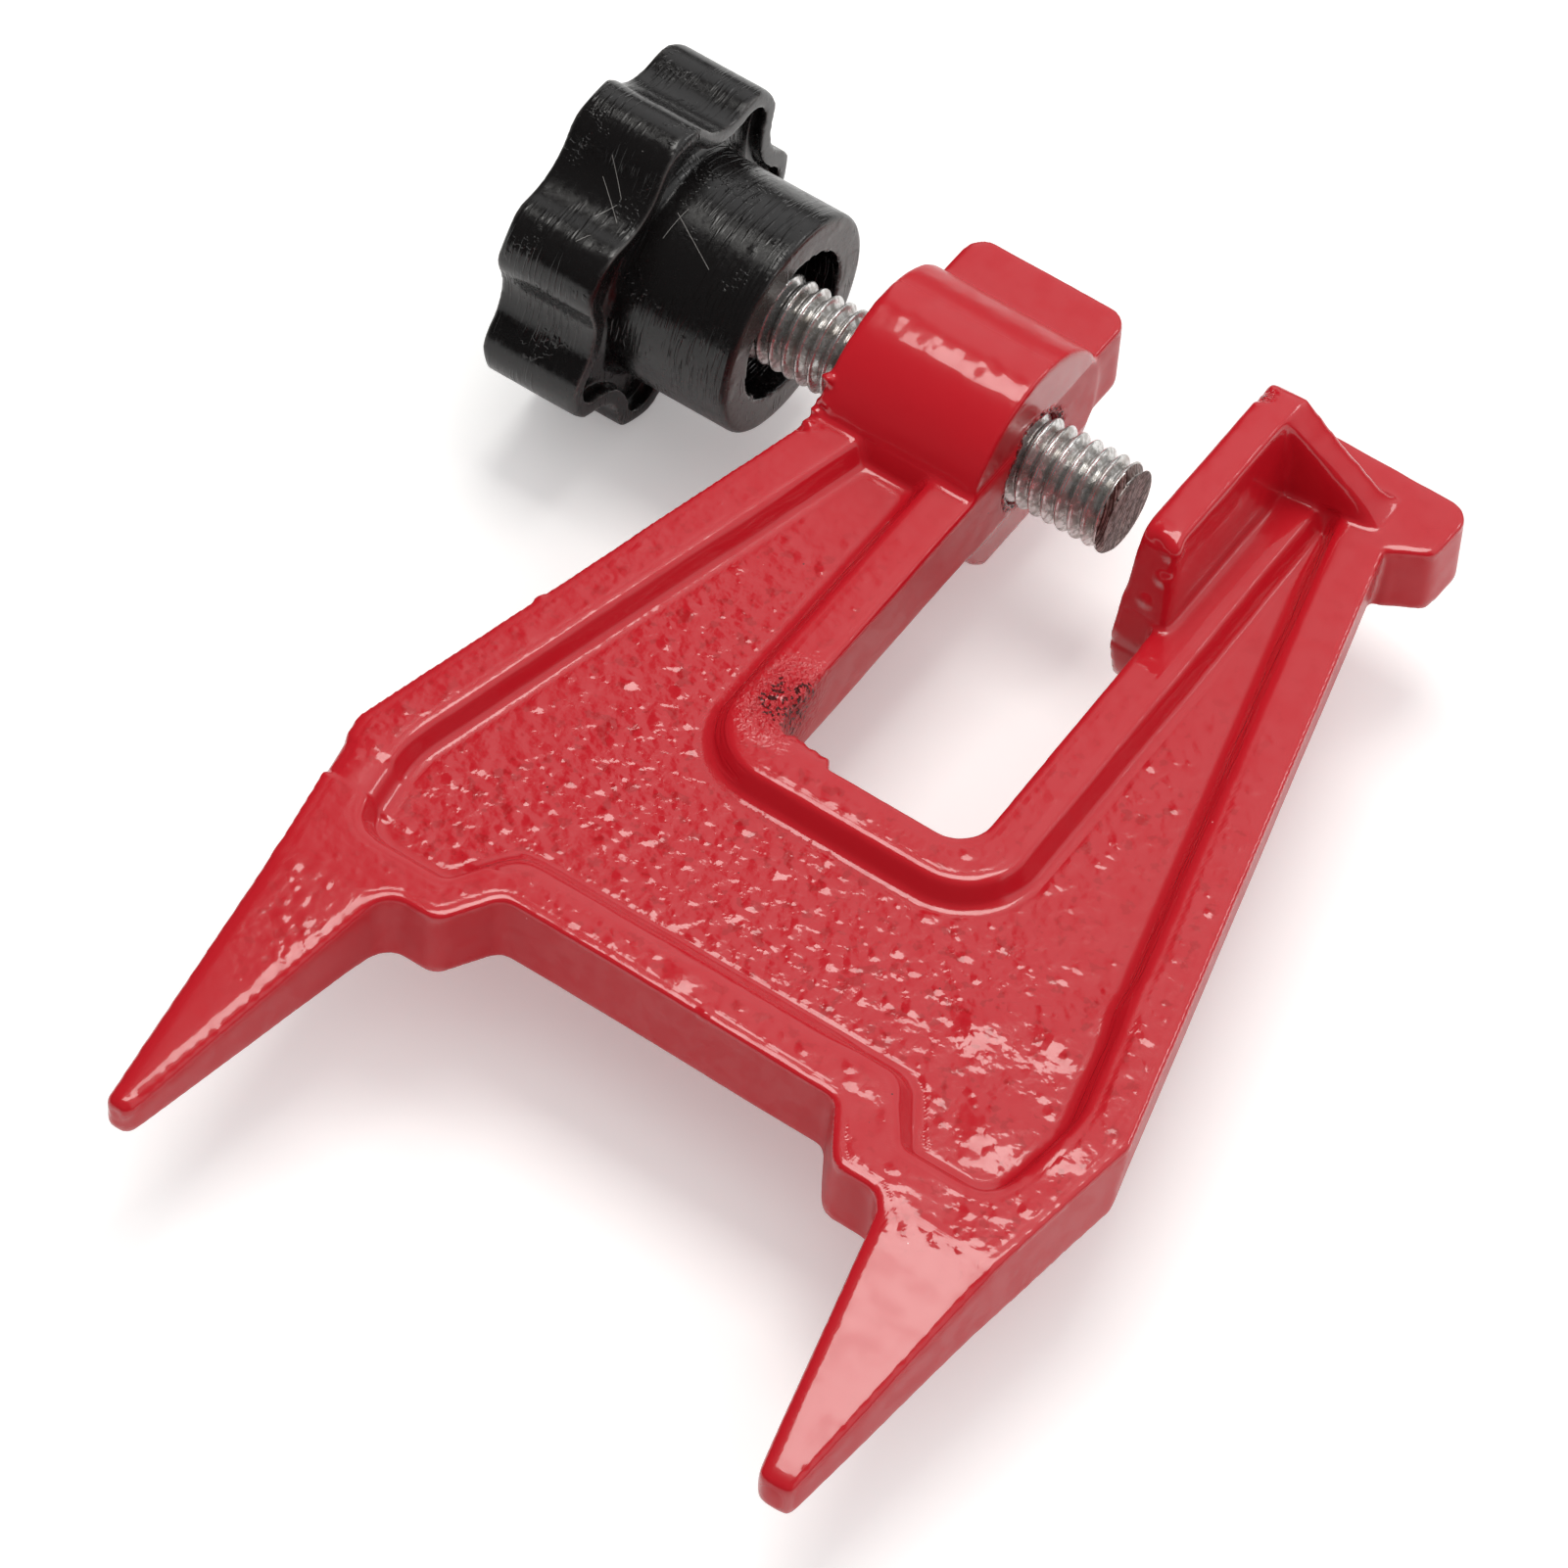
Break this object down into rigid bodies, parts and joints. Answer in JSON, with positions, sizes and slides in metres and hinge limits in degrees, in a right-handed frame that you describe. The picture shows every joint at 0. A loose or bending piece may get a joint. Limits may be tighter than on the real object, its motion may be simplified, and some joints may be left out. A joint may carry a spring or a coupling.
{
  "type": "stump vise",
  "caption": "Spiked cast frame with a ribbed panel, a fixed jaw and a star-knob clamp screw that grips a saw's guide bar on a stump.",
  "frame": {"origin": "middle of the straight bottom edge between the spikes, at mid thickness of the plate", "axes": "+X along the clamp screw from the knob to the fixed jaw, +Y from the spikes up to the jaw, +Z out of the ribbed front face"},
  "size_m": [0.1363, 0.1711, 0.0474],
  "materials": {
    "red_enamel": "gloss enamel over a rough sand casting",
    "zinc_screw": "bright zinc plating over a rolled thread",
    "black_plastic": "satin moulded plastic with fine scuffs",
    "plain_steel": "turned steel"
  },
  "bodies": {
    "casting": {"cast_frame": "red_enamel"},
    "feed": {"knob_insert": "plain_steel"},
    "screw": {"clamp_screw": "zinc_screw", "star_knob": "black_plastic"}
  },
  "joints": [
    {"name": "screw_travel", "type": "slide", "parent": "casting", "child": "feed", "axis": [1, 0, 0], "range_m": [-0.0141, 0.0088]},
    {"name": "knob_turn", "type": "hinge", "parent": "feed", "child": "screw", "pos_m": [-0.0503, 0.0985, 0], "axis": [1, 0, 0], "range_deg": [-2601.4, 1625]}
  ],
  "couplings": [
    {"joint": "knob_turn", "follows": "screw_travel", "rad_per_m": 3215.6}
  ]
}
